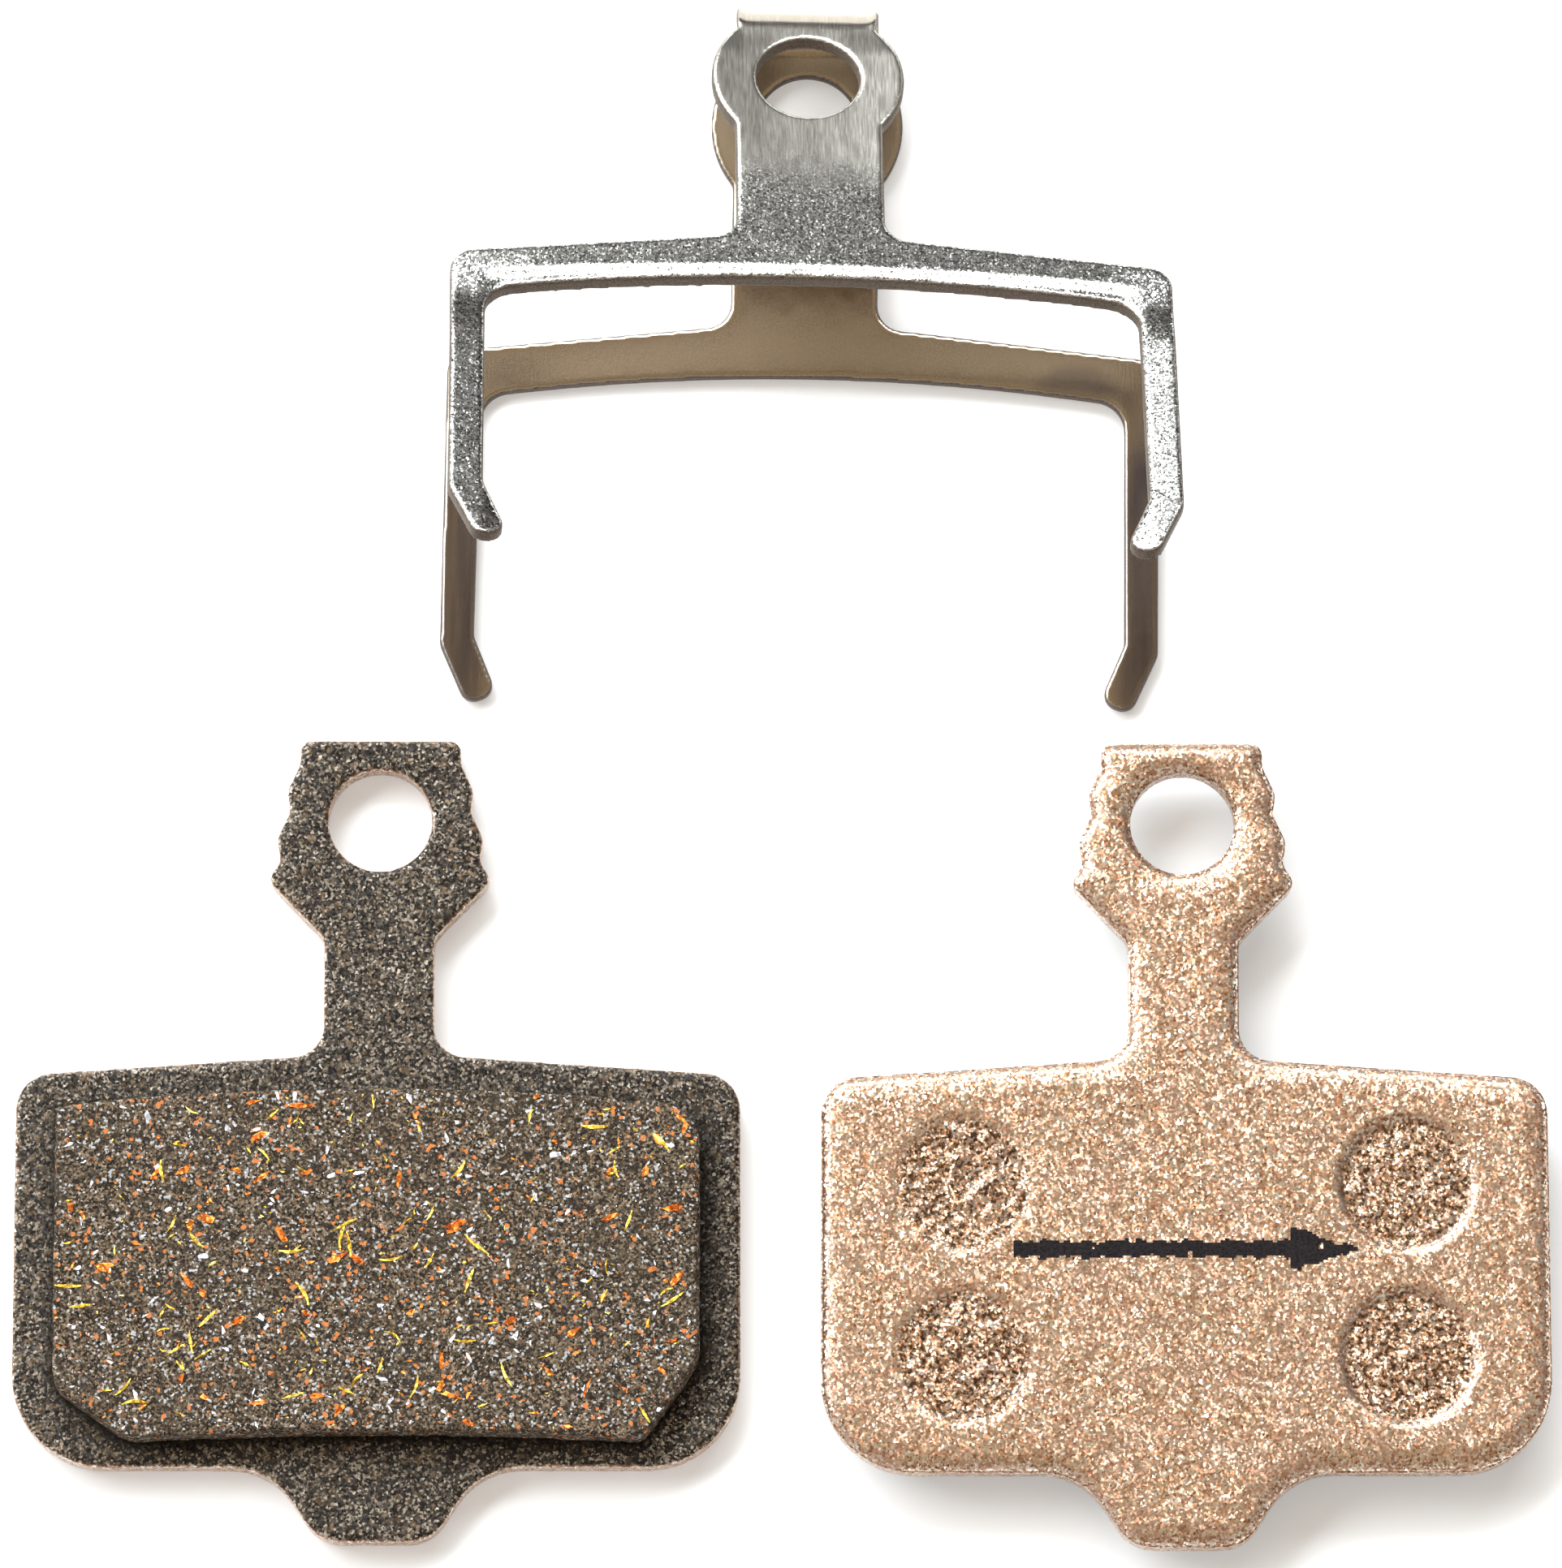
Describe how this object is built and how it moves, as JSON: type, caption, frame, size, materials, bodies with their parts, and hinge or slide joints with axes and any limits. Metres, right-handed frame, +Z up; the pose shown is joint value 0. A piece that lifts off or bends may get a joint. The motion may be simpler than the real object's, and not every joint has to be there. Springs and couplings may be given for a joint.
{
  "type": "disc brake pad set",
  "caption": "Bicycle disc brake pad set laid out flat: eared backing plates with moulded friction blocks, and the folded sheet spring that spreads them.",
  "frame": {"origin": "centre of the set's box in plan, on the surface that it rests on", "axes": "+Z up from the surface, +Y from the pads' tongues towards the spring's fold, +X from the pad with its friction face up to the pad with its back face up"},
  "size_m": [0.0776, 0.0804, 0.02],
  "materials": {
    "dark_plate": "fine speckled dark grey-brown coat with coppery edges",
    "copper_plate": "metallic copper coat with a fine orange-peel grain",
    "friction": "matte brown composite with copper, brass and pale mineral flecks",
    "adhesive": "matte cured film",
    "spring_steel": "tumbled satin with rounded stamped edges"
  },
  "bodies": {
    "left_pad": {"left_backing_plate": "dark_plate", "left_friction_block": "friction", "left_bond_layer": "adhesive"},
    "right_pad": {"right_backing_plate": "copper_plate", "right_friction_block": "friction", "right_bond_layer": "adhesive"},
    "spring": {"spring_lower_leaf": "spring_steel", "spring_fold": "spring_steel"},
    "spring_upper": {"spring_upper_leaf": "spring_steel"}
  },
  "joints": [
    {"name": "right_pad_lift", "type": "slide", "parent": "left_pad", "child": "right_pad", "axis": [0, 0, 1], "range_m": [0, 0.012]},
    {"name": "spring_lift", "type": "slide", "parent": "left_pad", "child": "spring", "axis": [0, 0, 1], "range_m": [0, 0.012]},
    {"name": "spring_flex", "type": "hinge", "parent": "spring", "child": "spring_upper", "pos_m": [0.00142, 0.03796, 0.00222], "axis": [0.9999, -0.0157, 0], "range_deg": [0, 24], "stiffness_Nm_per_rad": 0.2, "deforming": ["spring_fold"]}
  ]
}
